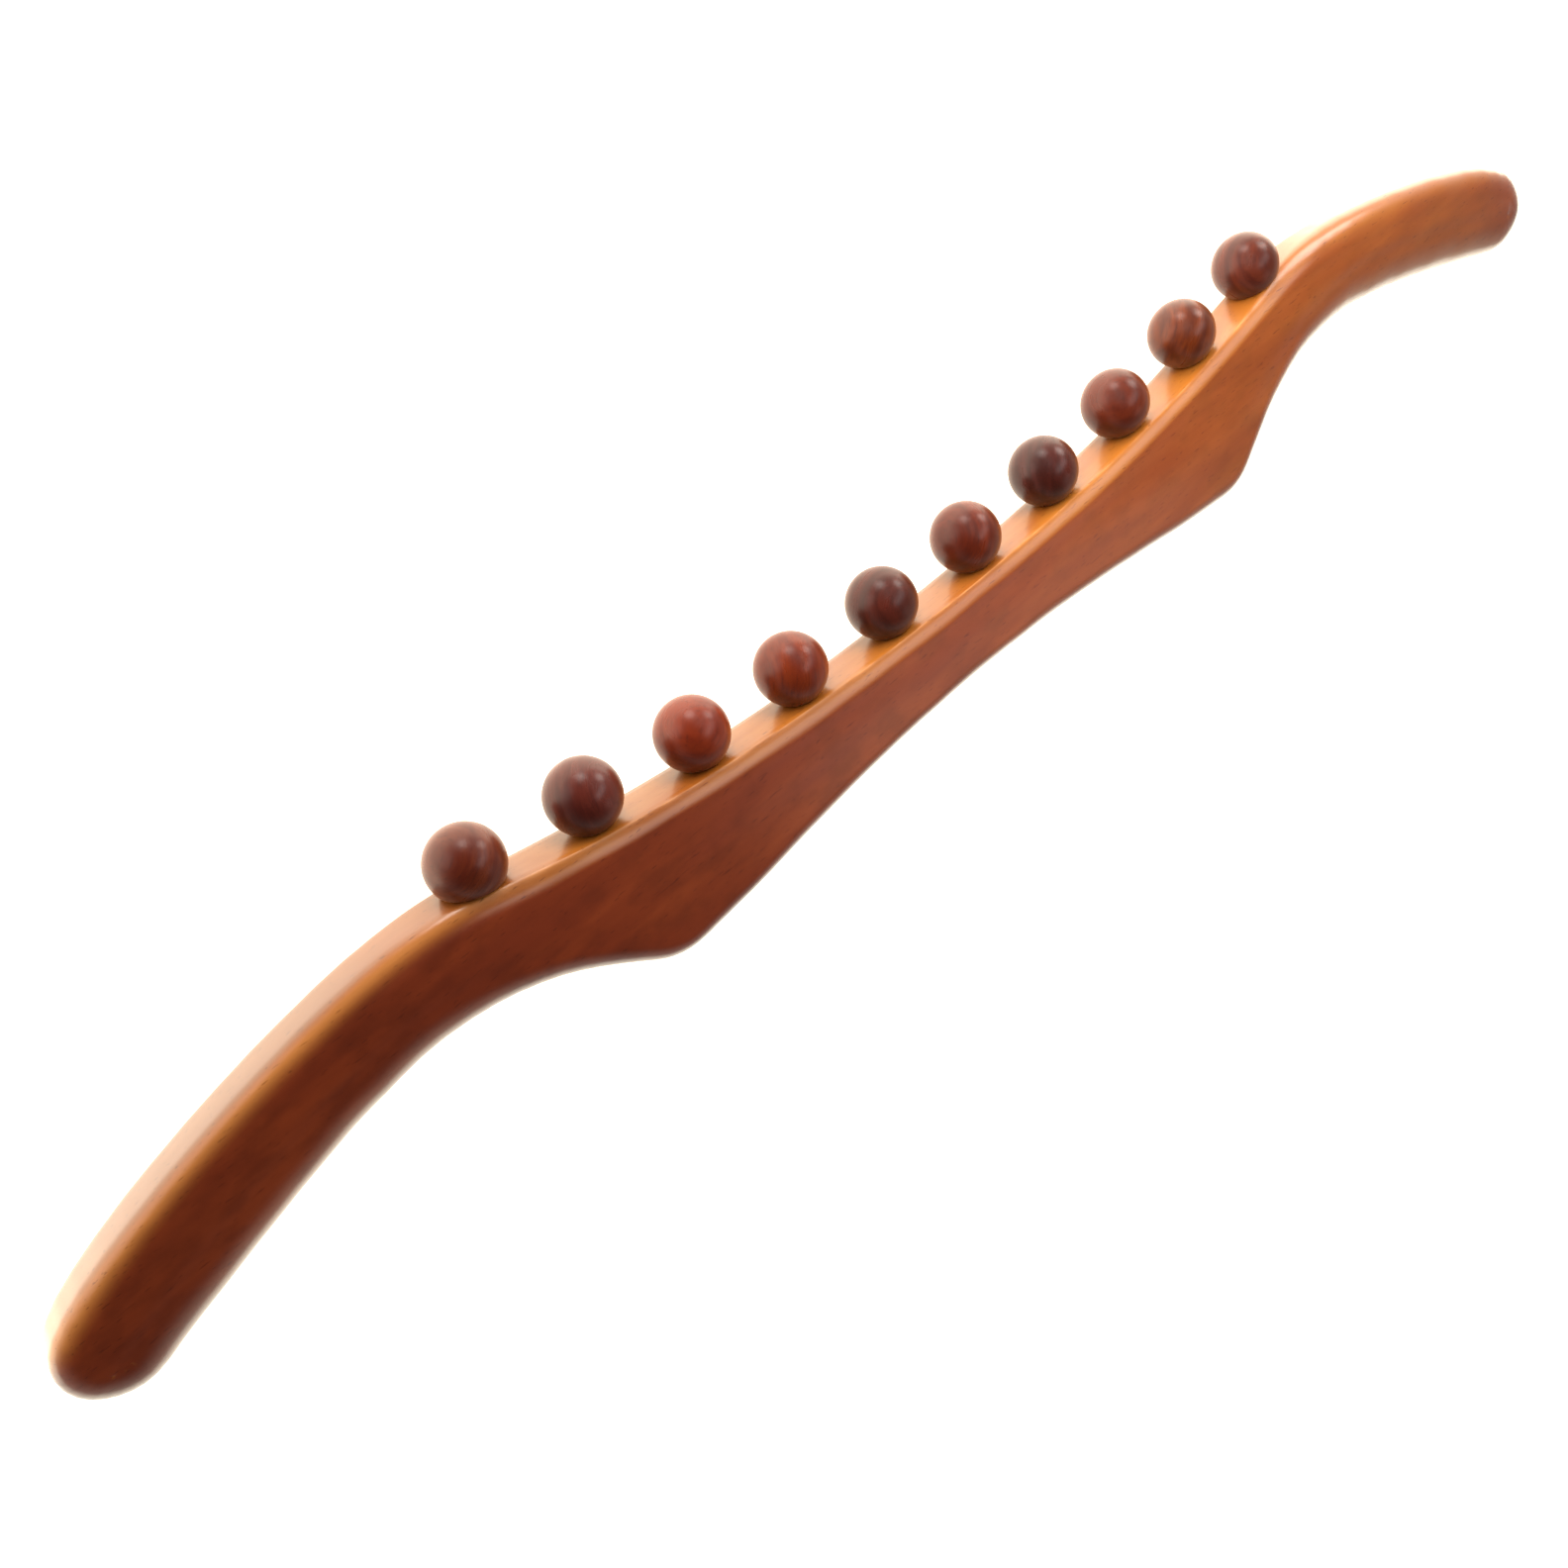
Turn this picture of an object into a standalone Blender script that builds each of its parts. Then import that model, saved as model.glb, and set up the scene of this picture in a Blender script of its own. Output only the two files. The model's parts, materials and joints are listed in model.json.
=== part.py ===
"""Wooden roller massager: a long bowed stick that carries a row of turning wooden balls.

Metres, +Z up. The stick lies on its broad side with its length along X. The bowed side with the
balls faces -Y, and the underside with its two blunt points faces +Y. Each ball is glued to a bush
that runs on a headed steel pin, and each pin is driven into a blind hole in the stick.

The stick's side view is drawn as (x, height) points. Heights are measured towards the balls from the
middle of the bowed side.
"""

import math

import bmesh
import bpy
from mathutils import Matrix, Vector, geometry

MM = 0.001

# Ball row
BALL_COUNT = 10
BALL_SPACING = 31.5 * MM  # from ball to ball, along the bowed side
BALL_RADIUS = 9.4 * MM
FOOT_GAP = 0.3 * MM  # between a ball's flat foot and the stick
FOOT_RIM = 1.9 * MM  # wood round the mouth of the ball's bore
END_BALL_SINK = 2.4 * MM  # the first and last balls are cut flatter and sit this much lower
ROW_RISE = 16.2 * MM  # from the middle of the bowed side up to the last ball
ROW_END_ANGLE = math.radians(16)

# Pin and bush
PIN_RADIUS = 1.5 * MM
PIN_HEAD_RADIUS = 2.6 * MM
PIN_HEAD_HEIGHT = 1.5 * MM
PIN_IN_STICK = 12 * MM
PIN_CHAMFER = 0.4 * MM
RUNNING_CLEARANCE = 0.1 * MM  # between pin and bush, on the radius
END_PLAY = 0.2 * MM  # between the bush and the pin's head
BUSH_WALL = 1.6 * MM
BUSH_LENGTH = 6.5 * MM
BUSH_RECESS = 0.3 * MM  # from the ball's foot in to the bush
GLUE_GAP = 0.15 * MM
BORE_END_ROOM = 0.5 * MM  # beyond the pin's head and beyond the pin's end

# Stick
STICK_THICKNESS = 17.8 * MM
MIDDLE_DEPTH = 23.6 * MM  # from the middle of the bowed side to the underside
SHOULDER_BEYOND = 22.5 * MM  # from the last ball to the top of the shoulder
SHOULDER_RISE = 2.6 * MM  # from the bowed side at the last ball to the top of the shoulder
GRIP_REACH = 88.2 * MM  # from the top of the shoulder to the centre of the grip's round end
GRIP_DROP = 34.2 * MM  # from the top of the shoulder down to that centre
GRIP_END_RADIUS = 12.8 * MM
GRIP_TOP_ANGLE = math.radians(-37)
GRIP_UNDER_ANGLE = math.radians(-16)
NECK_BEYOND = 23.6 * MM  # from the last ball to the thinnest place of the stick
NECK_DEPTH = 27.8 * MM  # from the top of the shoulder to the underside there
POINT_INSIDE = 37.2 * MM  # from the last ball in to the blunt point of the underside
POINT_DEPTH = 8.7 * MM  # from the underside's middle down to the point
POINT_RADIUS = 18.5 * MM
POINT_OUTER_ANGLE = math.radians(37)
POINT_INNER_ANGLE = math.radians(4)
ROW_EDGE_ROUND = 2.5 * MM
BACK_EDGE_ROUND = 5.2 * MM
GRIP_EDGE_ROUND = 8 * MM
ROUND_SHARE = 0.92  # an edge's rounding is at most this share of half the thickness

# Colour, metallic and roughness
STICK_WOOD = ((0.22, 0.075, 0.035), 0.0, 0.32)
BALL_WOOD = ((0.13, 0.038, 0.022), 0.0, 0.28)
STEEL = ((0.55, 0.55, 0.56), 1.0, 0.3)
BRASS = ((0.62, 0.43, 0.18), 1.0, 0.35)

TURNED_STEPS = 24
BALL_ARC_STEPS = 11
PIN_STEPS = 16
ROUND_STEPS = 4
FINE_STEPS = 200

# Worked out
PIN_HOLE_RADIUS = PIN_RADIUS + GLUE_GAP
BUSH_INNER_RADIUS = PIN_RADIUS + RUNNING_CLEARANCE
BUSH_OUTER_RADIUS = BUSH_INNER_RADIUS + BUSH_WALL
BORE_RADIUS = max(BUSH_OUTER_RADIUS, PIN_HEAD_RADIUS + RUNNING_CLEARANCE) + GLUE_GAP
FOOT_DEPTH = math.sqrt(BALL_RADIUS**2 - (BORE_RADIUS + FOOT_RIM) ** 2)  # under a ball's centre
BUSH_BOTTOM = FOOT_GAP + BUSH_RECESS  # above the stick, like the heights below
BUSH_TOP = BUSH_BOTTOM + BUSH_LENGTH
HEAD_BOTTOM = BUSH_TOP + END_PLAY
HEAD_TOP = HEAD_BOTTOM + PIN_HEAD_HEIGHT
BORE_TOP = HEAD_TOP + BORE_END_ROOM
HALF_THICKNESS = STICK_THICKNESS / 2
MIDDLE_Z = max(BALL_RADIUS, HALF_THICKNESS)
HALF_ROW = (BALL_COUNT - 1) / 2 * BALL_SPACING
ROW_END = Vector((math.sqrt(HALF_ROW**2 - ROW_RISE**2), ROW_RISE))
SHOULDER = ROW_END + Vector((SHOULDER_BEYOND, SHOULDER_RISE))
GRIP_END = SHOULDER + Vector((GRIP_REACH, -GRIP_DROP))
NECK = Vector((ROW_END.x + NECK_BEYOND, SHOULDER.y - NECK_DEPTH))
POINT = Vector((ROW_END.x - POINT_INSIDE, -MIDDLE_DEPTH - POINT_DEPTH))
MIDDLE_UNDER = Vector((0, -MIDDLE_DEPTH))


def direction(angle):
    return Vector((math.cos(angle), math.sin(angle)))


def bezier_run(start, start_angle, start_pull, end, end_angle, end_pull, steps):
    """Bezier points after start, up to end. A pull is a share of the distance between the two."""
    reach = (end - start).length
    leave = start + start_pull * reach * direction(start_angle)
    arrive = end - end_pull * reach * direction(end_angle)
    return geometry.interpolate_bezier(start, leave, arrive, end, steps + 1)[1:]


def arc_run(centre, radius, start_angle, end_angle, steps):
    """Points of an arc, both ends included."""
    turn = (end_angle - start_angle) / steps
    return [centre + radius * direction(start_angle + turn * step) for step in range(steps + 1)]


def bowed_side(steps):
    """From the middle of the bowed side to the last ball."""
    middle = Vector((0, 0))
    return [middle] + bezier_run(middle, 0, 0.33, ROW_END, ROW_END_ANGLE, 0.32, steps)


def half_outline():
    """The +X half of the stick's side view, clockwise: bowed side, shoulder, grip, underside."""
    up, back = math.pi / 2, math.pi
    end_arc = arc_run(GRIP_END, GRIP_END_RADIUS, GRIP_TOP_ANGLE + up, GRIP_UNDER_ANGLE - up, 12)
    point_arc = arc_run(
        POINT + Vector((0, POINT_RADIUS)), POINT_RADIUS, POINT_OUTER_ANGLE - up, -POINT_INNER_ANGLE - up, 6
    )
    points = bowed_side(20)
    points += bezier_run(ROW_END, ROW_END_ANGLE, 0.27, SHOULDER, 0, 0.3, 6)
    points += bezier_run(SHOULDER, 0, 0.25, end_arc[0], GRIP_TOP_ANGLE, 0.19, 12)
    points += end_arc[1:]
    points += bezier_run(end_arc[-1], GRIP_UNDER_ANGLE + back, 0.29, NECK, back, 0.29, 12)
    points += bezier_run(NECK, back, 0.44, point_arc[0], POINT_OUTER_ANGLE + back, 0.34, 10)
    points += point_arc[1:]
    points += bezier_run(point_arc[-1], back - POINT_INNER_ANGLE, 0.34, MIDDLE_UNDER, back, 0.48, 12)
    return points


def outline():
    """The whole side view, clockwise, the -X half being the +X half's mirror image."""
    half = half_outline()
    return half + [Vector((-point.x, point.y)) for point in half[-2:0:-1]]


def edge_round(point, faces_balls):
    """The rounding of the stick's edges at an outline point: small along the row, large on the grips."""
    share = min(max((abs(point.x) - ROW_END.x) / (SHOULDER_BEYOND + GRIP_REACH / 3), 0), 1)
    blend = share * share * (3 - 2 * share)
    middle_round = ROW_EDGE_ROUND if faces_balls else BACK_EDGE_ROUND
    wanted = middle_round * (1 - blend) + GRIP_EDGE_ROUND * blend
    return min(wanted, ROUND_SHARE * HALF_THICKNESS)


def seat(along):
    """(point, slope) of the bowed side at a distance along it from its middle."""
    points = bowed_side(FINE_STEPS)
    left = abs(along)
    for start, end in zip(points, points[1:]):
        step = (end - start).length
        if left <= step or end is points[-1]:
            break
        left -= step
    point = start + (end - start) * (left / step)
    slope = math.atan2(end.y - start.y, end.x - start.x)
    if along < 0:
        return Vector((-point.x, point.y)), -slope
    return point, slope


def foot_depth(index):
    """From a ball's centre down to its flat foot."""
    is_end = index in (0, BALL_COUNT - 1)
    return FOOT_DEPTH - END_BALL_SINK if is_end else FOOT_DEPTH


def row_places():
    """For each ball, (point of the stick under it, slope there, its centre)."""
    places = []
    for index in range(BALL_COUNT):
        point, slope = seat(index * BALL_SPACING - HALF_ROW)
        centre = point + (foot_depth(index) + FOOT_GAP) * direction(slope + math.pi / 2)
        places.append((point, slope, centre))
    return places


def middle_height():
    """Half way between the highest ball and the points of the underside: the world's Y = 0."""
    top = max(centre.y for _, _, centre in row_places()) + BALL_RADIUS
    return (top + POINT.y) / 2


MIDDLE_HEIGHT = middle_height()


def world_point(point, z):
    return Vector((point.x, MIDDLE_HEIGHT - point.y, z))


def row_matrix(point, slope):
    """A turned piece's place: its axis, local Z, stands square to the bowed side."""
    along = Vector((math.cos(slope), -math.sin(slope), 0))
    outward = Vector((-math.sin(slope), -math.cos(slope), 0))
    turn = Matrix((along, outward.cross(along), outward)).transposed()
    return Matrix.Translation(world_point(point, MIDDLE_Z)) @ turn.to_4x4()


def material(name, finish):
    colour, metallic, roughness = finish
    made = bpy.data.materials.new(name)
    made.use_nodes = True
    made.diffuse_color = (*colour, 1)
    shader = made.node_tree.nodes["Principled BSDF"]
    shader.inputs["Base Color"].default_value = (*colour, 1)
    shader.inputs["Metallic"].default_value = metallic
    shader.inputs["Roughness"].default_value = roughness
    return made


def add_object(name, bm, finish, smooth_angle=35):
    bmesh.ops.recalc_face_normals(bm, faces=bm.faces)
    mesh = bpy.data.meshes.new(name)
    bm.to_mesh(mesh)
    bm.free()
    mesh.shade_smooth()
    mesh.set_sharp_from_angle(angle=math.radians(smooth_angle))
    mesh.materials.append(material(name, finish))
    made = bpy.data.objects.new(name, mesh)
    bpy.context.scene.collection.objects.link(made)
    return made


def turned(name, profile, closed, steps, finish):
    """A solid turned round local Z from (radius, height) points."""
    bm = bmesh.new()
    verts = [bm.verts.new((radius, 0, height)) for radius, height in profile]
    following = verts[1:] + verts[:1] if closed else verts[1:]
    edges = [bm.edges.new(pair) for pair in zip(verts, following)]
    bmesh.ops.spin(
        bm, geom=verts + edges, cent=(0, 0, 0), axis=(0, 0, 1), dvec=(0, 0, 0), angle=2 * math.pi, steps=steps
    )
    bmesh.ops.remove_doubles(bm, verts=bm.verts, dist=1e-6)
    return add_object(name, bm, finish)


def make_ball(index, matrix):
    """A ball with a flat foot and a blind bore, its origin at its centre."""
    foot = foot_depth(index)
    seat_depth = foot + FOOT_GAP
    foot_radius = math.sqrt(BALL_RADIUS**2 - foot**2)
    start = -math.asin(foot / BALL_RADIUS)
    sphere = arc_run(Vector((0, 0)), BALL_RADIUS, start, math.pi / 2, BALL_ARC_STEPS)
    profile = [(0, BORE_TOP - seat_depth), (BORE_RADIUS, BORE_TOP - seat_depth), (BORE_RADIUS, -foot)]
    profile += [(foot_radius, -foot)] + [(point.x, point.y) for point in sphere[1:-1]]
    profile += [(0, BALL_RADIUS)]
    ball = turned(f"massage_ball_{index + 1:02d}", profile, False, TURNED_STEPS, BALL_WOOD)
    ball.matrix_world = matrix @ Matrix.Translation((0, 0, seat_depth))


def make_bush(index, matrix):
    """The bush glued in the ball's bore, its origin on the stick's surface."""
    profile = [
        (BUSH_INNER_RADIUS, BUSH_BOTTOM),
        (BUSH_OUTER_RADIUS, BUSH_BOTTOM),
        (BUSH_OUTER_RADIUS, BUSH_TOP),
        (BUSH_INNER_RADIUS, BUSH_TOP),
    ]
    bush = turned(f"ball_bush_{index + 1:02d}", profile, True, TURNED_STEPS, BRASS)
    bush.matrix_world = matrix


def make_pin(index, matrix):
    """The headed pin that a ball turns on, its origin on the stick's surface."""
    profile = [
        (0, -PIN_IN_STICK),
        (PIN_RADIUS - PIN_CHAMFER, -PIN_IN_STICK),
        (PIN_RADIUS, PIN_CHAMFER - PIN_IN_STICK),
        (PIN_RADIUS, HEAD_BOTTOM),
        (PIN_HEAD_RADIUS, HEAD_BOTTOM),
        (PIN_HEAD_RADIUS, HEAD_TOP - PIN_CHAMFER),
        (PIN_HEAD_RADIUS - PIN_CHAMFER, HEAD_TOP),
        (0, HEAD_TOP),
    ]
    pin = turned(f"axle_pin_{index + 1:02d}", profile, False, PIN_STEPS, STEEL)
    pin.matrix_world = matrix


def make_hole_cutter(places):
    """One helper with a cylinder for each pin's blind hole."""
    bm = bmesh.new()
    bottom = -PIN_IN_STICK - BORE_END_ROOM
    top = PIN_HOLE_RADIUS * 2
    for point, slope, _ in places:
        matrix = row_matrix(point, slope) @ Matrix.Translation((0, 0, (bottom + top) / 2))
        bmesh.ops.create_cone(
            bm, cap_ends=True, segments=PIN_STEPS, radius1=PIN_HOLE_RADIUS, radius2=PIN_HOLE_RADIUS,
            depth=top - bottom, matrix=matrix,
        )
    cutter = add_object("pin_hole_cutter", bm, STICK_WOOD)
    cutter.hide_render = True
    cutter.display_type = "WIRE"
    return cutter


def make_stick(places):
    """The carved stick: loops of points round its rounded edges, skinned from one broad face to the other."""
    points = outline()
    count = len(points)
    tip = max(range(count), key=lambda index: points[index].x)
    bm = bmesh.new()
    loops = []
    for side in (-1, 1):
        for step in range(ROUND_STEPS + 1):
            lift = math.pi / 2 * (step if side > 0 else ROUND_STEPS - step) / ROUND_STEPS
            loop = []
            for index, point in enumerate(points):
                tangent = (points[(index + 1) % count] - points[index - 1]).normalized()
                inward = Vector((tangent.y, -tangent.x))
                faces_balls = index <= tip or index >= count - tip
                rounding = edge_round(point, faces_balls)
                moved = point + inward * rounding * (1 - math.cos(lift))
                z = side * (HALF_THICKNESS - rounding * (1 - math.sin(lift)))
                loop.append(bm.verts.new(world_point(moved, MIDDLE_Z + z)))
            loops.append(loop)
    for lower, upper in zip(loops, loops[1:]):
        for index in range(count):
            after = (index + 1) % count
            bm.faces.new((lower[index], lower[after], upper[after], upper[index]))
    bm.faces.new(loops[0])
    bm.faces.new(loops[-1])
    stick = add_object("stick_body", bm, STICK_WOOD)
    cut = stick.modifiers.new("pin_holes", "BOOLEAN")
    cut.operation = "DIFFERENCE"
    cut.solver = "EXACT"
    cut.object = make_hole_cutter(places)


def clear_scene():
    for old in list(bpy.data.objects):
        bpy.data.objects.remove(old)


clear_scene()
ROW = row_places()
make_stick(ROW)
for number, (foot_point, foot_slope, _) in enumerate(ROW):
    foot_matrix = row_matrix(foot_point, foot_slope)
    make_ball(number, foot_matrix)
    make_bush(number, foot_matrix)
    make_pin(number, foot_matrix)
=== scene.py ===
# %% [markdown]
# # A wooden roller massager
# The object is one long bowed stick of heat-darkened wood with ten turning wooden balls. The packed
# model gives every place and size, so the first step loads it.

import json
import math

import bmesh
import bpy
import numpy as np
from mathutils import Euler, Matrix, Vector, noise

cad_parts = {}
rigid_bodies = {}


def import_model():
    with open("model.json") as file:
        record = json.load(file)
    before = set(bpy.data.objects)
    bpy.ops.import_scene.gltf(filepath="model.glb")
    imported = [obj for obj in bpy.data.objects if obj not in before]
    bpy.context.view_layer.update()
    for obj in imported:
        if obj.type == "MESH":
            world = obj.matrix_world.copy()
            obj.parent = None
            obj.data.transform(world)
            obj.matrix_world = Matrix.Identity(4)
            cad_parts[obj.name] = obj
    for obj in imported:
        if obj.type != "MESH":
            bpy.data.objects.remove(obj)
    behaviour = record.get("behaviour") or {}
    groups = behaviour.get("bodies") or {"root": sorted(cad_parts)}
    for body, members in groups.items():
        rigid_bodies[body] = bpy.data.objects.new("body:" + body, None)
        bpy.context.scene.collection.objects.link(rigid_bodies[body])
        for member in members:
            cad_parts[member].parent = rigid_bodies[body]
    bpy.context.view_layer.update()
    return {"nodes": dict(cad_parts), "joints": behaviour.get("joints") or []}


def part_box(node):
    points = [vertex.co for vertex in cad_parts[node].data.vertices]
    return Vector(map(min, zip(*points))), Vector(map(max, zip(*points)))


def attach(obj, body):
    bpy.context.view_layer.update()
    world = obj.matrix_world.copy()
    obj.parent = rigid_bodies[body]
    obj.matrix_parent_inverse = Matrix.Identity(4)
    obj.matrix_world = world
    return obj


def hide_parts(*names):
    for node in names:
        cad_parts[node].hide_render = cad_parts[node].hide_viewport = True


bpy.ops.object.select_all(action="SELECT")
bpy.ops.object.delete()
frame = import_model()
MM = 0.001
JOINTS = sorted(frame["joints"], key=lambda joint: joint["name"])

# %% [markdown]
# ## Camera
# The camera stands close to the stick, so that its near grip looks much larger than its far one. Four
# things set it: where it looks, from which side, how far away it is, and how far it is rolled about its
# own axis, so that the balls point up in the picture.

# %% Camera
LOOK_AT = Vector((57.7, 21.7, -0.8)) * MM
CAMERA_AZIMUTH = math.radians(33.14)
CAMERA_ELEVATION = math.radians(51.47)
CAMERA_ROLL = math.radians(113.57)
CAMERA_DISTANCE = 367 * MM
LENS = 32.33
NEAREST_DRAWN = 20 * MM

turned_to = Euler((math.pi / 2 - CAMERA_ELEVATION, 0, CAMERA_AZIMUTH)).to_matrix()
turned_to = turned_to @ Matrix.Rotation(CAMERA_ROLL, 3, "Z")
bpy.ops.object.camera_add(
    location=LOOK_AT + turned_to @ Vector((0, 0, CAMERA_DISTANCE)), rotation=turned_to.to_euler()
)
camera = bpy.context.object
camera.data.lens = LENS
camera.data.clip_start = NEAREST_DRAWN
bpy.context.scene.camera = camera
print("camera at", [round(value, 3) for value in camera.location])

# %% [markdown]
# ## The stick's outline
# The real stick is sawn from a plank to a drawn outline, and only then are its edges rounded over and
# sanded. The outline could be drawn again point by point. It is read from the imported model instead, so
# that the two can't differ: a copy is welded, cut just above its middle plane, where the pin holes are
# narrow, and the cut is turned into a curve, which puts its points in order. The few points that lie in
# a pin hole are left out.


# %% Small helpers for working as by hand
def ramp(value, start, end):
    """0 at the start and before it, 1 at the end and past it, and a straight slope between."""
    return min(max((value - start) / (end - start), 0), 1)


def only(obj):
    """Deselects everything else, because an operator acts on all that is selected."""
    bpy.ops.object.select_all(action="DESELECT")
    obj.select_set(True)
    bpy.context.view_layer.objects.active = obj


def select_in_edit(obj, kind, wanted):
    """Selects, in edit mode, the vertices, edges or faces that pass a test."""
    bpy.ops.mesh.select_mode(type=kind)
    bpy.ops.mesh.select_all(action="DESELECT")
    shape = bmesh.from_edit_mesh(obj.data)
    shape.normal_update()
    parts = {"VERT": shape.verts, "EDGE": shape.edges, "FACE": shape.faces}[kind]
    chosen = [part for part in parts if wanted(part)]
    for part in chosen:
        part.select_set(True)
    bmesh.update_edit_mesh(obj.data)
    return len(chosen)


# %% Read the outline
stick_low, stick_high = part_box("stick_body")
HALF_THICKNESS = (stick_high.z - stick_low.z) / 2
MIDDLE_Z = (stick_high.z + stick_low.z) / 2
CUT_ABOVE_MIDDLE = 0.5 * MM
HOLE_CLEAR = 2.2 * MM
HOLE_END_FROM_BALL = 25 * MM
WELD = 0.002 * MM

copied = bpy.data.objects.new("outline", frame["nodes"]["stick_body"].data.copy())
bpy.context.scene.collection.objects.link(copied)
only(copied)
bpy.ops.object.mode_set(mode="EDIT")
bpy.ops.mesh.select_all(action="SELECT")
bpy.ops.mesh.remove_doubles(threshold=WELD)
bpy.ops.mesh.select_all(action="SELECT")
bpy.ops.mesh.bisect(
    plane_co=(0, 0, MIDDLE_Z + CUT_ABOVE_MIDDLE), plane_no=(0, 0, 1), clear_inner=True, clear_outer=True
)
bpy.ops.object.mode_set(mode="OBJECT")
bpy.ops.object.convert(target="CURVE")
longest = max(copied.data.splines, key=lambda spline: len(spline.points))
cut_points = np.array([point.co[:2] for point in longest.points])
bpy.data.objects.remove(copied)


def near_a_pin(point):
    """Whether an outline point belongs to a pin hole."""
    for joint in JOINTS:
        away = Vector(point) - Vector(joint["pos_m"][:2])
        axis = Vector(joint["axis"][:2])
        beside, below = abs(away.cross(axis)), away.dot(axis) < 0
        if below and beside < HOLE_CLEAR and away.length < HOLE_END_FROM_BALL:
            return True
    return False


outline_points = np.array([point for point in cut_points if not near_a_pin(point)])
print(f"outline: {len(cut_points)} points in the cut, {len(outline_points)} kept")

# %% [markdown]
# ## A smooth curve through the outline
# The model's outline has straight runs a few millimetres long. A polished surface shows each of them as
# a facet, so a smooth closed curve is put through the points: a cubic spline, whose bend is found by
# solving one set of linear equations. The curve is then split at the two grip tips into the side with
# the balls and the underside.


# %% Smooth the outline
def smooth_closed(points, fine_steps=14):
    """Many points on a smooth closed curve through the given ones."""
    count = len(points)
    here = np.arange(count)
    after, before = np.roll(here, -1), np.roll(here, 1)
    step = np.linalg.norm(points[after] - points, axis=1)
    slope = (points[after] - points) / step[:, None]
    system = np.zeros((count, count))
    system[here, here] = 2 * (step + step[before])
    system[here, after] = step
    system[here, before] = step[before]
    bend = np.linalg.solve(system, 6 * (slope - slope[before]))
    made = []
    for share in np.arange(fine_steps) / fine_steps:
        left, s = 1 - share, step[:, None]
        line = left * points + share * points[after]
        curve = (left**3 - left) * bend + (share**3 - share) * bend[after]
        made.append(line + s * s / 6 * curve)
    return np.stack(made, axis=1).reshape(-1, 2)


GRIP_LEAN = math.radians(26.5)  # from +X, the way in which a grip's outermost point is looked for
fine = smooth_closed(outline_points)
toward = np.array([math.cos(GRIP_LEAN), math.sin(GRIP_LEAN)])
right_tip = int(np.argmax(fine @ toward))
fine = np.roll(fine, -right_tip, axis=0)
left_tip = int(np.argmax(fine @ (toward * [-1, 1])))
chains = [fine[: left_tip + 1], np.concatenate([fine[left_tip:], fine[:1]])[::-1]]
if chains[0][:, 1].mean() > chains[1][:, 1].mean():
    chains.reverse()
ball_side, underside = chains
print("tips in mm:", (fine[0] / MM).round(1), (fine[left_tip] / MM).round(1))

# %% [markdown]
# ## Cross-section of the stick
# Along the row of balls the edge is only broken by a narrow, almost flat chamfer. Towards the grips it
# opens out into a wide soft round, as a spokeshave and sandpaper leave it, and the far grip is rounder
# than the near one. One rule gives them all: a quarter of a superellipse, whose exponent is near 1 for a
# chamfer and 2 for a round. Its size wanders a little from place to place, because it was worked by
# hand. The wall below it bows outward a little, and the broad face is slightly crowned.

# %% Section of one edge
ROW_END_X = 112 * MM
EDGE_OPENS_OVER = 66 * MM
# Each edge: how far it reaches in over the broad face, how far down the wall, and its exponent.
ROW_EDGE = (4.1 * MM, 1.7 * MM, 1.35)
ROW_NEAR_GRIP_EDGE = (7.2 * MM, 4.8 * MM, 2.0)
ROW_FAR_GRIP_EDGE = (8.5 * MM, 6.5 * MM, 2.0)
UNDER_EDGE = (5.0 * MM, 4.6 * MM, 1.9)
UNDER_GRIP_EDGE = (10.5 * MM, 8.0 * MM, 2.0)
TIP_EDGE = (8 * MM, 6.2 * MM, 2.0)
TIP_BLEND = 34  # stations over which the two sides' edges become one round tip
CROWN_BLEND = 20  # stations over which the face's crown fades out at a tip
WALL_BOW = 0.3 * MM
FACE_CROWN = 0.25 * MM
HAND_WANDER = 0.09
WANDER_LENGTH = 15 * MM
# Rows of the grid: up the wall, round the edge, and across the face between the two rims.
WALL_ROWS = np.array([0, 0.4, 0.75, 1])
ROUND_ROWS = np.linspace(0, math.pi / 2, 13)[1:]
FACE_ROWS = np.linspace(0, 1, 13)[1:-1]
STATIONS = 460


def evenly(chain, count):
    """Points and inward directions at equal steps along a chain."""
    step = np.linalg.norm(np.diff(chain, axis=0), axis=1)
    along = np.concatenate([[0], np.cumsum(step)])
    wanted = np.linspace(0, along[-1], count)
    points = np.stack([np.interp(wanted, along, chain[:, axis]) for axis in (0, 1)], axis=1)
    tangent = np.gradient(points, axis=0)
    tangent /= np.linalg.norm(tangent, axis=1)[:, None]
    return points, np.stack([-tangent[:, 1], tangent[:, 0]], axis=1)


def edge_rows(point, inward, middle_edge, grip_edge):
    """Points up one edge: from the middle plane, up the wall and round, to the rim of the broad face."""
    share = ramp(abs(point[0]), ROW_END_X, ROW_END_X + EDGE_OPENS_OVER)
    blend = share * share * (3 - 2 * share)
    reach, drop, power = (a * (1 - blend) + b * blend for a, b in zip(middle_edge, grip_edge))
    wander = 1 + HAND_WANDER * noise.noise(Vector((*point, 0)) / WANDER_LENGTH)
    reach, drop = reach * wander, drop * wander
    wall_top = HALF_THICKNESS - FACE_CROWN - drop
    risen = drop * np.sin(ROUND_ROWS) ** (2 / power)
    height = np.concatenate([wall_top * WALL_ROWS, wall_top + risen])
    turned_in = np.concatenate([0 * WALL_ROWS, reach * (1 - np.cos(ROUND_ROWS) ** (2 / power))])
    depth = turned_in + WALL_BOW * (height / HALF_THICKNESS) ** 2
    flat = np.asarray(point) + depth[:, None] * np.asarray(inward)
    return np.concatenate([flat, height[:, None]], axis=1)


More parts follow.
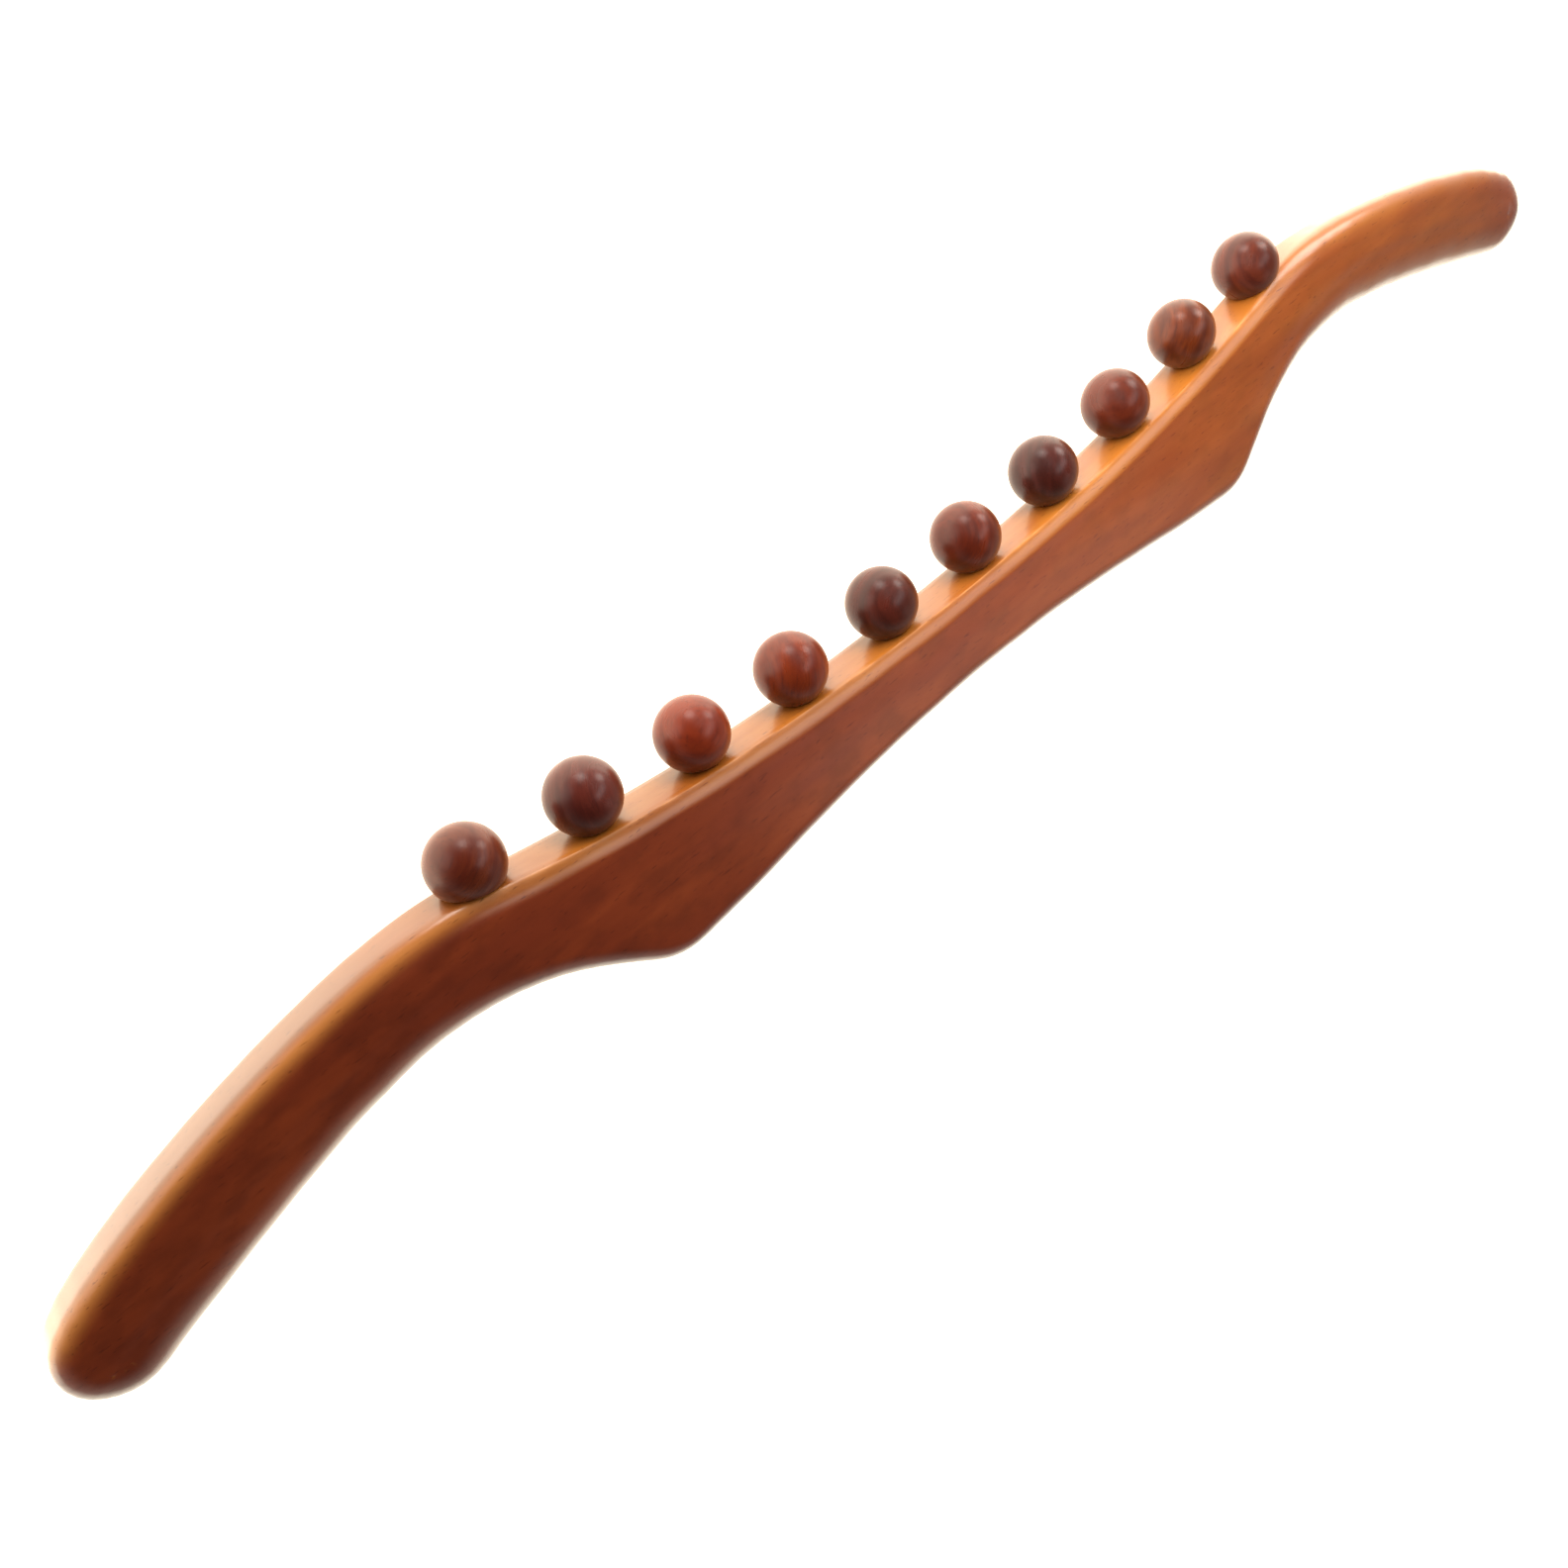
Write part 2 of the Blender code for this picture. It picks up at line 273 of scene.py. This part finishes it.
# %% [markdown]
# ## The stick
# A long grid is laid over one half of the stick, from the middle plane on the side of the balls, up over
# that edge, across the broad face and down to the middle plane at the back. Its columns stand at equal
# steps along the two sides. The end columns fold shut on the tips, and a Mirror makes the other half.

# %% Lay out the grid
upper, upper_inward = evenly(ball_side, STATIONS + 1)
lower, lower_inward = evenly(underside, STATIONS + 1)
centre_line = (upper + lower) / 2
for points, inward in ((upper, upper_inward), (lower, lower_inward)):
    if np.sum((centre_line - points) * inward) < 0:
        inward *= -1
tip_inward = [upper_inward[place] + lower_inward[place] for place in (0, -1)]
for place, inward in zip((0, -1), tip_inward):
    upper_inward[place] = lower_inward[place] = inward / np.linalg.norm(inward)

columns = []
for place in range(STATIONS + 1):
    near_tip = max(0, 1 - min(place, STATIONS - place) / TIP_BLEND) ** 2
    row_grip_edge = ROW_NEAR_GRIP_EDGE if upper[place][0] > 0 else ROW_FAR_GRIP_EDGE
    row_grip, under_grip = (
        tuple(a * (1 - near_tip) + b * near_tip for a, b in zip(edge, TIP_EDGE))
        for edge in (row_grip_edge, UNDER_GRIP_EDGE)
    )
    first = edge_rows(upper[place], upper_inward[place], ROW_EDGE, row_grip)
    last = edge_rows(lower[place], lower_inward[place], UNDER_EDGE, under_grip)
    across = first[-1] + FACE_ROWS[:, None] * (last[-1] - first[-1])
    crown = FACE_CROWN * min(1, place / CROWN_BLEND, (STATIONS - place) / CROWN_BLEND)
    across[:, 2] += crown * np.sin(math.pi * FACE_ROWS) ** 2
    columns.append(np.concatenate([first, across, last[::-1]]))
grid_points = np.stack(columns, axis=1)
ROWS = grid_points.shape[0] - 1

bpy.ops.object.select_all(action="DESELECT")
bpy.ops.mesh.primitive_grid_add(x_subdivisions=STATIONS, y_subdivisions=ROWS, size=1)
stick = bpy.context.object
stick.name = stick.data.name = "carved_stick"
stick.data.vertices.foreach_set("co", grid_points.reshape(-1))
stick.data.update()
print(f"grid of {ROWS + 1} rows and {STATIONS + 1} columns")

# %% Close and mirror
TIP_WELD = 0.003 * MM
MIRROR_WELD = 0.01 * MM

bpy.ops.object.mode_set(mode="EDIT")
bpy.ops.mesh.select_all(action="SELECT")
bpy.ops.mesh.remove_doubles(threshold=TIP_WELD)
bpy.ops.object.mode_set(mode="OBJECT")
mirror = stick.modifiers.new("other half", "MIRROR")
mirror.use_axis = (False, False, True)
mirror.merge_threshold = MIRROR_WELD
bpy.ops.object.modifier_apply(modifier=mirror.name)
bpy.ops.object.mode_set(mode="EDIT")
bpy.ops.mesh.select_all(action="SELECT")
bpy.ops.transform.translate(value=(0, 0, MIDDLE_Z))
bpy.ops.mesh.normals_make_consistent(inside=False)
open_edges = select_in_edit(stick, "EDGE", lambda edge: len(edge.link_faces) != 2)
bpy.ops.object.mode_set(mode="OBJECT")
print("open edges left:", open_edges)

# %% [markdown]
# ## Pin holes
# Each joint gives a ball's centre and the direction of its pin. The stick's surface under the ball is
# found on the outline. One drill stands over each seat, and the ten, joined to one mesh, cut all the
# blind holes at once.


# %% Where each ball sits
def seat_distance(joint):
    """From a ball's centre down to the stick, found on the smooth outline."""
    centre = np.array(joint["pos_m"][:2])
    axis = np.array(joint["axis"][:2])
    away = ball_side - centre
    beside = np.abs(away[:, 0] * axis[1] - away[:, 1] * axis[0])
    return float(-(away[int(np.argmin(beside))] @ axis))


def ball_place(joint):
    """The matrix that puts a ball's own Z on its pin and its centre at the joint."""
    axis = Vector(joint["axis"])
    along = Vector((0, 0, 1)).cross(axis).normalized()
    turn = Matrix((along, axis.cross(along), axis)).transposed()
    return Matrix.Translation(joint["pos_m"]) @ turn.to_4x4()


# %% Drill the stick
HOLE_RADIUS = 1.65 * MM
HOLE_DEPTH = 12.5 * MM
DRILL_ABOVE = 2 * MM  # twice how far the drill stands out of the stick
STICK_CREASE = math.radians(50)  # edges sharper than this stay sharp

drills = []
for joint in JOINTS:
    seat = seat_distance(joint)
    middle = ball_place(joint) @ Vector((0, 0, -seat - HOLE_DEPTH / 2 + DRILL_ABOVE / 2))
    bpy.ops.object.select_all(action="DESELECT")
    bpy.ops.mesh.primitive_cylinder_add(
        vertices=24,
        radius=HOLE_RADIUS,
        depth=HOLE_DEPTH + DRILL_ABOVE,
        location=middle,
        rotation=ball_place(joint).to_euler(),
    )
    drills.append(bpy.context.object)
    print(joint["name"], "stands", round(seat / MM, 2), "mm over the stick")
only(drills[0])
for drill in drills:
    drill.select_set(True)
bpy.ops.object.join()
drill = bpy.context.object
only(stick)
cut = stick.modifiers.new("pin holes", "BOOLEAN")
cut.operation = "DIFFERENCE"
cut.solver = "EXACT"
cut.object = drill
bpy.ops.object.modifier_apply(modifier=cut.name)
bpy.data.objects.remove(drill)
bpy.ops.object.shade_smooth_by_angle(angle=STICK_CREASE)
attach(stick, "stick")
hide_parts("stick_body")
print("stick:", len(stick.data.vertices), "vertices")

# %% [markdown]
# ## The balls
# A turner parts each ball off the lathe and sands a flat foot on it, then drills the foot for the bush.
# A sphere is sliced at its foot, the foot is inset to the size of the bore, the bore is pushed in, and
# both rims are broken with a fine bevel. The first and last balls have a broader foot and sit lower.

# %% Turn one ball
BALL_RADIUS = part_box("massage_ball_05")[1].z - MIDDLE_Z
BORE_RADIUS = 3.35 * MM
BORE_ROOF = 9.1 * MM  # from the stick's surface up to the end of the bore
FOOT_GAP = 0.3 * MM
RIM_BEVEL = 0.22 * MM
SAME_PLACE = 0.01 * MM
BALL_CREASE = math.radians(35)


def turn_ball(name, seat, segments=72, rings=44):
    """A ball with a flat foot and a blind bore, its centre at the origin and its foot below."""
    foot = seat - FOOT_GAP
    foot_radius = math.sqrt(BALL_RADIUS**2 - foot**2)
    bpy.ops.object.select_all(action="DESELECT")
    bpy.ops.mesh.primitive_uv_sphere_add(segments=segments, ring_count=rings, radius=BALL_RADIUS)
    ball = bpy.context.object
    ball.name = ball.data.name = name
    bpy.ops.object.mode_set(mode="EDIT")
    bpy.ops.mesh.select_all(action="SELECT")
    bpy.ops.mesh.bisect(plane_co=(0, 0, -foot), plane_no=(0, 0, 1), use_fill=True, clear_inner=True)
    select_in_edit(ball, "FACE", lambda face: face.calc_center_median().z < -foot + SAME_PLACE)
    bpy.ops.mesh.inset(thickness=foot_radius - BORE_RADIUS)
    bpy.ops.mesh.extrude_region_move(TRANSFORM_OT_translate={"value": (0, 0, BORE_ROOF - FOOT_GAP)})
    select_in_edit(
        ball,
        "EDGE",
        lambda edge: all(abs(vert.co.z + foot) < SAME_PLACE for vert in edge.verts)
        and abs(edge.verts[0].co.length - edge.verts[1].co.length) < SAME_PLACE,
    )
    bpy.ops.mesh.bevel(offset=RIM_BEVEL, segments=3)
    bpy.ops.mesh.select_all(action="SELECT")
    bpy.ops.mesh.normals_make_consistent(inside=False)
    bpy.ops.object.mode_set(mode="OBJECT")
    bpy.ops.object.shade_smooth_by_angle(angle=BALL_CREASE)
    return ball


# %% Set the balls in their row
balls = []
for number, joint in enumerate(JOINTS, 1):
    ball = turn_ball(f"turned_ball_{number:02d}", seat_distance(joint))
    ball.matrix_world = ball_place(joint)
    bpy.ops.object.transform_apply(location=True, rotation=True, scale=True)
    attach(ball, joint["child"])
    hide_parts(f"massage_ball_{number:02d}")
    balls.append(ball)
print(len(balls), "balls,", len(balls[4].data.vertices), "vertices each")
print("ball radius in mm:", round(BALL_RADIUS / MM, 2))

# %% [markdown]
# ## Building materials
# Every finish here is a network of nodes. One small function adds a node, with its own settings and its
# inputs, and links it when an input is another node's output. A colour is written as a screen hex value
# and turned to the linear numbers that a shader takes.


# %% Node helper and colours
def linear(hexed):
    """A colour such as 863819 as linear red, green, blue and alpha."""
    parts = [int(hexed[start : start + 2], 16) / 255 for start in (0, 2, 4)]
    return (*(part / 12.92 if part <= 0.04045 else ((part + 0.055) / 1.055) ** 2.4 for part in parts), 1)


def add(tree, kind, inputs=None, **settings):
    """Adds a node. An input's value may be a number, a colour, or an output of another node."""
    made = tree.nodes.new("ShaderNode" + kind)
    for name, value in settings.items():
        setattr(made, name, value)
    for socket, value in (inputs or {}).items():
        if isinstance(value, bpy.types.NodeSocket):
            tree.links.new(value, made.inputs[socket])
        else:
            made.inputs[socket].default_value = value
    return made


def start_material(name):
    """An empty material with its output and its Principled shader, linked."""
    made = bpy.data.materials.new(name)
    made.use_nodes = True
    tree = made.node_tree
    tree.nodes.clear()
    shader = add(tree, "BsdfPrincipled")
    add(tree, "OutputMaterial", {"Surface": shader.outputs["BSDF"]})
    return made, tree, shader


def grain(tree, size, place=(0, 0, 0), turn=(0, 0, 0), detail=2.0, rough=0.5, twist=0.0):
    """Noise whose blotches have about this size in metres along each of the grain's own directions."""
    coordinates = add(tree, "TexCoord")
    fitted = add(
        tree,
        "Mapping",
        {"Vector": coordinates.outputs["Object"], "Location": place, "Rotation": turn, "Scale": size},
        vector_type="TEXTURE",
    )
    fineness = {"Scale": 1.0, "Detail": detail, "Roughness": rough, "Distortion": twist}
    return add(tree, "TexNoise", {"Vector": fitted.outputs[0], **fineness}).outputs[0]


def spread(tree, value, low, high, to_low=0.0, to_high=1.0):
    """Stretches the part of a value between low and high over a new range, softly at both ends."""
    made = add(
        tree,
        "MapRange",
        {"Value": value, "From Min": low, "From Max": high, "To Min": to_low, "To Max": to_high},
        interpolation_type="SMOOTHSTEP",
    )
    return made.outputs[0]


def mixed(tree, share, first, second):
    """Blends two colours by a share."""
    return add(tree, "Mix", {0: share, 6: first, 7: second}, data_type="RGBA").outputs[2]


# %% [markdown]
# ## Wood of the stick
# The stick is beech or a like fine-grained wood, heated until it turned red-brown all through, then
# sanded, oiled and waxed. That gives a satin skin with a soft broad sheen, long faint growth lines along
# the stick, small dark dashes where the pores were cut, and cloudy patches where the heat took more or
# less. Three painted marks differ from place to place, and each vertex carries a share of each. Painted
# light makes the faces turned to the lamps yellower: the side with the balls, its chamfer, the underside
# of the grips, and the far half of the stick, which the lamps light most. A painted highlight lies pale,
# in patches, on the ridge beside the balls and on the round of the near grip. The ball side of the near
# grip is painted duller and browner.
# Real pores are about 0.1 mm wide, too fine to show from here, so they are drawn about 0.4 mm wide.

# %% How much painted light, painted highlight and duller brown each place gets
PAINTED_LIGHT_GOLD_FROM, PAINTED_LIGHT_GOLD_TO = 130 * MM, -230 * MM
PATCH_SIZE = 6 * MM


def facing_share(normal, middle, width):
    """A bell curve: 1 where the surface faces the balls' side by this much, and less on either side."""
    return math.exp(-(((-normal.y - middle) / width) ** 2))


def painted_light_gold_share(place, normal):
    """How far a place is painted yellower as painted light, where it faces the lamps: 0 on the broad faces
    of the darker half, 1 on the side of the balls and its chamfer.
    """
    on_grip = ramp(abs(place.x), 125 * MM, 160 * MM)
    by_side = ramp(-normal.y, 0.12 + 0.13 * on_grip, 0.34 + 0.26 * on_grip)
    by_side *= 1 - 0.35 * on_grip
    by_side += 0.6 * on_grip * ramp(normal.y, 0.2, 0.7)
    # The far half, which the lamps light most, is painted yellower too, as painted light.
    by_length = ramp(place.x, PAINTED_LIGHT_GOLD_FROM, PAINTED_LIGHT_GOLD_TO) * ramp(place.x, -268 * MM, -228 * MM)
    return min(1, by_side + 0.55 * by_length)


def painted_highlight_share(place, normal):
    """A painted highlight: 1 on the ridge between the ball side and its chamfer, in patches, and less on
    the near round.
    """
    ridge = facing_share(normal, 0.72, 0.14) * ramp(abs(place.x), 150 * MM, 125 * MM)
    patchy = 0.55 + 1.3 * noise.noise(place / PATCH_SIZE)
    # A painted reflection: the pale band on the round of the near grip.
    near_round = 0.75 * facing_share(normal, 0.66, 0.22) * ramp(place.x, 120 * MM, 160 * MM)
    return min(max(ridge * patchy, 0) + near_round, 1)


def duller_brown_share(place, normal):
    """How far the ball side of the near grip is painted duller and browner."""
    return 0.6 * ramp(place.x, 135 * MM, 180 * MM) * ramp(-normal.y, 0.78, 0.98)


# Three painted shares for each vertex: painted light, a painted highlight, and a duller brown.
for name, share_at in (("painted_light_gold", painted_light_gold_share), ("painted_highlight", painted_highlight_share), ("duller_brown", duller_brown_share)):
    shares = stick.data.attributes.new(name, "FLOAT", "POINT")
    for vertex, share in zip(stick.data.vertices, shares.data):
        share.value = share_at(vertex.co, vertex.normal)
    print(name, "share set on", len(shares.data), "vertices")

# %% Heat-treated beech, waxed
wood, tree, shader = start_material("heat_treated_beech_waxed")
clouds = grain(tree, (60 * MM, 15 * MM, 12 * MM), detail=3, rough=0.55, twist=0.3)
drift = grain(tree, (110 * MM, 28 * MM, 20 * MM), place=(0.3, 0.1, 0), detail=2)
lines = grain(tree, (80 * MM, 1.7 * MM, 4 * MM), detail=4, rough=0.6, twist=0.15)
pores = grain(tree, (3.4 * MM, 0.42 * MM, 0.5 * MM), detail=1)
hand = grain(tree, (12 * MM, 9 * MM, 9 * MM), detail=1)

red_brown = mixed(tree, spread(tree, clouds, 0.35, 0.68), linear("7A3016"), linear("8C3C1C"))
red_brown = mixed(tree, spread(tree, drift, 0.5, 0.7, 0, 0.5), red_brown, linear("6E2A20"))
mottle = grain(tree, (11 * MM, 7 * MM, 7 * MM), place=(0.1, 0.2, 0), detail=3)
red_brown = mixed(tree, spread(tree, mottle, 0.4, 0.7, 0, 0.45), red_brown, linear("5C2210"))
# Painted light: a yellower orange for the places that face the lamps and for the far half.
painted_light_golden = mixed(tree, spread(tree, clouds, 0.35, 0.68), linear("935019"), linear("A16022"))
painted_light_gold = add(tree, "Attribute", attribute_name="painted_light_gold")
ground = mixed(tree, painted_light_gold.outputs["Fac"], red_brown, painted_light_golden)
# Painted highlight: a pale tan laid along the ridge beside the balls and on the near round.
painted_highlight = add(tree, "Attribute", attribute_name="painted_highlight")
ground = mixed(tree, painted_highlight.outputs["Fac"], ground, linear("C07C40"))
# The ball side of the near grip is painted duller and browner.
duller_brown = add(tree, "Attribute", attribute_name="duller_brown")
ground = mixed(tree, duller_brown.outputs["Fac"], ground, linear("5E3A22"))
lined = mixed(tree, spread(tree, lines, 0.3, 0.7, 0.08, 0), ground, linear("4A1C10"))
pored = mixed(tree, spread(tree, pores, 0.66, 0.76, 0, 0.45), lined, linear("35120A"))
tree.links.new(pored, shader.inputs["Base Color"])
tree.links.new(spread(tree, clouds, 0.3, 0.7, 0.42, 0.33), shader.inputs["Roughness"])

heights = add(tree, "Math", {0: pores, 1: -0.06, 2: hand}, operation="MULTIPLY_ADD")
heights = add(tree, "Math", {0: lines, 1: 0.05, 2: heights.outputs[0]}, operation="MULTIPLY_ADD")
skin = add(tree, "Bump", {"Height": heights.outputs[0], "Strength": 1.0, "Distance": 0.12 * MM})
tree.links.new(skin.outputs["Normal"], shader.inputs["Normal"])
shader.inputs["IOR"].default_value = 1.5
shader.inputs["Specular IOR Level"].default_value = 0.15
shader.inputs["Coat Weight"].default_value = 1.0
shader.inputs["Coat Roughness"].default_value = 0.22
shader.inputs["Coat IOR"].default_value = 1.5
stick.data.materials.clear()
stick.data.materials.append(wood)
print("stick wood:", len(tree.nodes), "nodes")

# %% [markdown]
# ## Wood of the balls
# The balls are a denser, darker wood, turned and tumbled with oil, and no two come from the same part of
# a plank. One function builds the finish for each ball from its own two colours and the direction of its
# own grain, so every ball shows its rings and fine ray lines at another angle. The ray lines are drawn
# 0.4 mm wide, about four times the real width, so that they show.

# %% Turned dark wood, one for each ball
TONES = {
    1: ("3F150D", "562315"),
    2: ("441809", "5F280F"),
    3: ("46160A", "572010"),
    4: ("300F0A", "401813"),
    5: ("461509", "5B200F"),
    6: ("37120C", "491C14"),
    7: ("591C0C", "6C2811"),
    8: ("611E0E", "752A14"),
    9: ("441611", "57231B"),
    10: ("501B0F", "642B18"),
}


def ball_wood(number, centre, turn):
    """The finish of one ball, its grain centred on the ball and turned its own way."""
    made, tree, shader = start_material(f"dark_hardwood_turned_oiled_{number:02d}")
    dark, light = (linear(tone) for tone in TONES[number])
    rings = grain(tree, (16 * MM, 2.2 * MM, 7 * MM), centre, turn, detail=3, twist=0.25)
    rays = grain(tree, (6 * MM, 0.4 * MM, 1.4 * MM), centre, turn, detail=2)
    blotch = grain(tree, (7 * MM, 7 * MM, 7 * MM), centre, turn, detail=1)
    toned = mixed(tree, spread(tree, rings, 0.35, 0.65), dark, light)
    toned = mixed(tree, spread(tree, blotch, 0.45, 0.7, 0, 0.35), toned, dark)
    rayed = mixed(tree, spread(tree, rays, 0.55, 0.7, 0, 0.28), toned, linear("2A100C"))
    tree.links.new(rayed, shader.inputs["Base Color"])
    tree.links.new(spread(tree, rings, 0.3, 0.7, 0.33, 0.27), shader.inputs["Roughness"])
    skin = add(tree, "Bump", {"Height": rays, "Strength": 0.6, "Distance": 0.02 * MM})
    tree.links.new(skin.outputs["Normal"], shader.inputs["Normal"])
    shader.inputs["Specular IOR Level"].default_value = 0.3
    shader.inputs["Sheen Weight"].default_value = 0.35
    shader.inputs["Sheen Roughness"].default_value = 0.4
    shader.inputs["Sheen Tint"].default_value = linear("D88A58")
    return made


for number, ball in enumerate(balls, 1):
    # Each grain is turned its own way: by a step about X, and a little more or less about Y and Z.
    turn = (1.3 * number, 0.25 + 0.15 * math.sin(5 * number), -2.23 + 0.25 * math.sin(3 * number))
    ball.data.materials.clear()
    ball.data.materials.append(ball_wood(number, JOINTS[number - 1]["pos_m"], turn))

# %% [markdown]
# ## Metal inside
# The pins are drawn steel wire and the bushes turned brass. Little of them shows, but they can be seen
# from below a ball, so both get a metal with fine lines round or along them. The lines are drawn 0.15 mm
# to 0.2 mm wide, coarser than tool marks and draw lines are, because those would not show.


# %% Steel and brass
def metal(name, tone, rough, line_size):
    """A worked metal whose roughness and skin follow fine lines of this size."""
    made, tree, shader = start_material(name)
    scored = grain(tree, line_size, detail=2)
    toned = mixed(tree, spread(tree, scored, 0.3, 0.7), linear(tone[0]), linear(tone[1]))
    tree.links.new(toned, shader.inputs["Base Color"])
    tree.links.new(spread(tree, scored, 0.3, 0.7, rough, rough + 0.12), shader.inputs["Roughness"])
    skin = add(tree, "Bump", {"Height": scored, "Strength": 0.4, "Distance": 0.01 * MM})
    tree.links.new(skin.outputs["Normal"], shader.inputs["Normal"])
    shader.inputs["Metallic"].default_value = 1.0
    return made


steel = metal("steel_wire_drawn", ("A8A8AA", "C8C8CA"), 0.26, (0.2 * MM, 3 * MM, 0.2 * MM))
brass = metal("brass_turned", ("B08A48", "D2AE68"), 0.3, (2 * MM, 0.15 * MM, 2 * MM))
for name, node in frame["nodes"].items():
    if name.startswith(("axle_pin", "ball_bush")):
        node.material_slots[0].material = steel if name.startswith("axle_pin") else brass

# %% [markdown]
# ## Table and light
# The object lies on a light table: a sheet of milky acrylic lit from below, which gives a white ground
# with almost no shadow and a pale shine on every side that faces it. One more lamp lies under the sheet
# in front of the balls, and it bends back with the grips. Softboxes stand low in front of the row of
# balls and at both ends, a narrow one hangs over the chamfer, and a weak one stands behind. Those that
# would leave a hard streak in the polish are kept out of reflections. The room is bright only near the
# table, so the upper faces keep their deep colour.

# %% Light table
TABLE_GLOW = 1.8
TUBE_GLOW = 1.7  # added over the lamp in front of the balls
TUBE_BENDS_AT = 150 * MM  # this far from the middle it starts to turn back with the grips
TUBE_BEND = 0.36  # how fast it turns back, in metres per metre
TUBE_BACK = (-14 * MM, -48 * MM)  # the glow grows over this strip next to the balls
TUBE_FRONT = (-190 * MM, -110 * MM)  # and fades again over this one
bpy.ops.object.select_all(action="DESELECT")
bpy.ops.mesh.primitive_plane_add(size=8)
table = bpy.context.object
table.name = "light_table"
acrylic, tree, shader = start_material("milky_acrylic_lit_from_below")
shader.inputs["Base Color"].default_value = linear("B0B0B0")
shader.inputs["Roughness"].default_value = 0.6
shader.inputs["Specular IOR Level"].default_value = 0.2
shader.inputs["Emission Color"].default_value = linear("FFFAE4")
where = add(tree, "SeparateXYZ", {0: add(tree, "TexCoord").outputs["Object"]})
along, ahead = where.outputs["X"], where.outputs["Y"]
aside = add(tree, "Math", {0: along}, operation="ABSOLUTE").outputs[0]
past_bend = add(tree, "Math", {0: aside, 1: TUBE_BENDS_AT}, operation="SUBTRACT", use_clamp=True).outputs[0]
beside = add(tree, "Math", {0: past_bend, 1: -TUBE_BEND, 2: ahead}, operation="MULTIPLY_ADD").outputs[0]
from_row = spread(tree, beside, *TUBE_BACK)
from_front = spread(tree, ahead, *TUBE_FRONT)
lamp_tube = add(tree, "Math", {0: from_row, 1: from_front}, operation="MULTIPLY").outputs[0]
glow = add(tree, "Math", {0: lamp_tube, 1: TUBE_GLOW, 2: TABLE_GLOW}, operation="MULTIPLY_ADD")
tree.links.new(glow.outputs[0], shader.inputs["Emission Strength"])
table.data.materials.append(acrylic)

# %% Room
world = bpy.data.worlds.new("studio")
bpy.context.scene.world = world
world.use_nodes = True
tree = world.node_tree
tree.nodes.clear()
split = add(tree, "SeparateXYZ", {0: add(tree, "TexCoord").outputs["Generated"]})
# How strongly the room glows, from low to high: more in front than behind.
front = spread(tree, split.outputs["Z"], 0.1, 0.42, 1.5, 0.04)
back = spread(tree, split.outputs["Z"], 0.25, 0.7, 0.6, 0.04)
side = spread(tree, split.outputs["Y"], -0.5, 0.3)
level = add(tree, "Mix", {0: side, 2: front, 3: back}).outputs[0]
background = add(tree, "Background", {"Color": linear("FFF3E9"), "Strength": level})
add(tree, "OutputWorld", {"Surface": background.outputs[0]})


# %% Softboxes
def softbox(name, place, aim, width, height, watts, tone="FFFFFF", shines=True):
    """A rectangular soft light. Places and sizes are in millimetres. It may be kept out of reflections."""
    place, aim = Vector(place) * MM, Vector(aim) * MM
    aimed = (place - aim).to_track_quat("Z", "Y").to_euler()
    bpy.ops.object.light_add(type="AREA", location=place, rotation=aimed)
    made = bpy.context.object
    made.name = name
    made.data.shape = "RECTANGLE"
    made.data.size = width * MM
    made.data.size_y = height * MM
    made.data.energy = watts
    made.data.color = linear(tone)[:3]
    made.visible_camera = False
    made.visible_glossy = shines


softbox("front_window", (-105, -690, 170), (0, 0, 10), 260, 260, 1.9, "FFF8F0")
softbox("far_front_window", (-560, -330, 270), (-100, 0, 10), 240, 220, 1.65, "FFF8F0")
softbox("near_front_window", (560, -560, 150), (150, 0, 10), 460, 440, 0.95, "FFF8F0")
softbox("row_front_box", (-50, -250, 160), (-260, 10, 10), 260, 200, 0.5, "FFF8F0", shines=False)
softbox("row_top_box", (-50, -150, 180), (-200, 10, 10), 160, 130, 0.65, shines=False)
softbox("chamfer_panel", (-300, -87, 560), (20, 0, 18), 200, 560, 1.0)
softbox("back_window", (240, 500, 130), (180, 20, 10), 400, 200, 0.55, "FFE8D0", shines=False)
softbox("sky_panel", (-500, 550, 750), (0, 0, 10), 420, 420, 0.36)
bpy.context.scene.view_settings.view_transform = "Standard"
